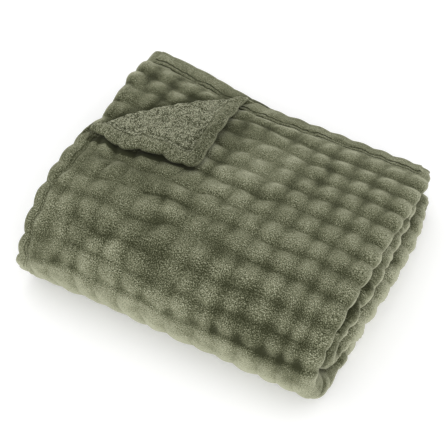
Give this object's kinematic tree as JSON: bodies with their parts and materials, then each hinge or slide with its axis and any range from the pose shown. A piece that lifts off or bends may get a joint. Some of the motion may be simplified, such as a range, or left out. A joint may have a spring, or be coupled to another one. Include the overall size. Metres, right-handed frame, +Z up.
{
  "type": "flannel throw blanket",
  "caption": "Folded flannel throw blanket with a soft bubble pile, flat hems and one corner turned over to show its fleecy back.",
  "frame": {"origin": "under the middle of the folded pack, on the surface that it lies on", "axes": "+X along the pack's long side, towards its folded side edge; -Y towards its round front fold; +Z up"},
  "size_m": [0.389, 0.3542, 0.1224],
  "materials": {
    "flannel": "matt, brushed pile"
  },
  "bodies": {
    "root": {"blanket": "flannel"}
  },
  "joints": []
}
